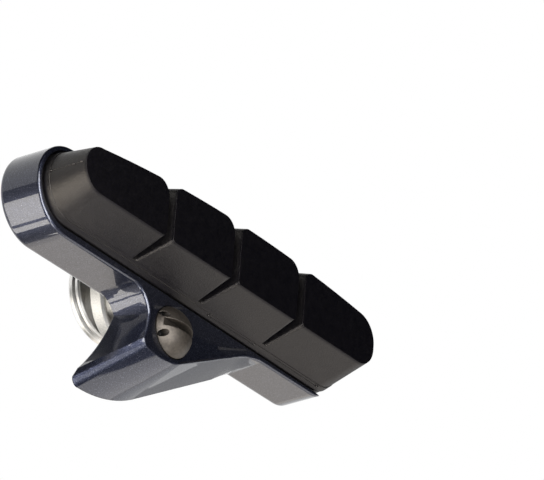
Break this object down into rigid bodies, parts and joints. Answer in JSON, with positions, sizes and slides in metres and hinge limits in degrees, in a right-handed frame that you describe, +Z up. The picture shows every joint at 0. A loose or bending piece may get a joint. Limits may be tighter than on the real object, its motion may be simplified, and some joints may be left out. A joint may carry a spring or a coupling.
{
  "type": "bicycle rim brake pad",
  "caption": "Cartridge brake pad for a road bicycle's rim brake: grooved rubber in a cast holder with a guide tab, clamp bolt and ball-joint washers.",
  "frame": {"origin": "where the mounting bolt's axis meets the friction face", "axes": "+X along the pad towards its open end, +Y along the mounting bolt towards its head, +Z up, away from the guide tab"},
  "size_m": [0.0555, 0.023, 0.0273],
  "materials": {
    "holder_paint": "metallic gloss",
    "pad_rubber": "satin",
    "plug_metal": "bronze tint, satin",
    "screw_nickel": "nickel, satin",
    "washer_alloy": "blasted",
    "bolt_chrome": "polished"
  },
  "bodies": {
    "root": {"shoe_holder": "holder_paint", "friction_pad": "pad_rubber", "tab_plug": "plug_metal", "pad_fixing_screw": "screw_nickel", "convex_washer": "washer_alloy", "concave_washer": "washer_alloy", "thin_washer": "bolt_chrome", "mounting_bolt": "bolt_chrome"}
  },
  "joints": []
}
